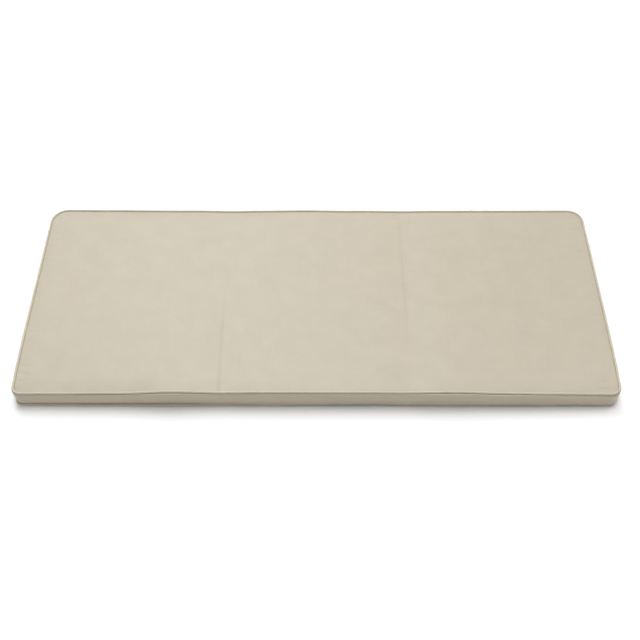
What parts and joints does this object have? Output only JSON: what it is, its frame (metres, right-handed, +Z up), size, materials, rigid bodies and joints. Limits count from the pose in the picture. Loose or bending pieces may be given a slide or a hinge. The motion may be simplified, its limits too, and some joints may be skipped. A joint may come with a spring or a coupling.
{
  "type": "swing seat cushion",
  "caption": "Thin boxed seat cushion for a garden swing, in plain woven cloth, with rounded corners, piped upper and lower edges and fold lines from front to back.",
  "frame": {"origin": "middle of the underside, on the surface that the cushion lies on", "axes": "+X along the width, +Y from the front edge to the back edge, +Z up through the thickness"},
  "size_m": [1.2, 0.5, 0.0505],
  "materials": {
    "cover_cloth": "matt plain-woven outdoor cloth, taupe",
    "piping_cloth": "matt plain-woven outdoor cloth cut on the bias, taupe"
  },
  "bodies": {
    "root": {"cushion_pad": "cover_cloth", "piping_upper": "piping_cloth", "piping_lower": "piping_cloth"}
  },
  "joints": []
}
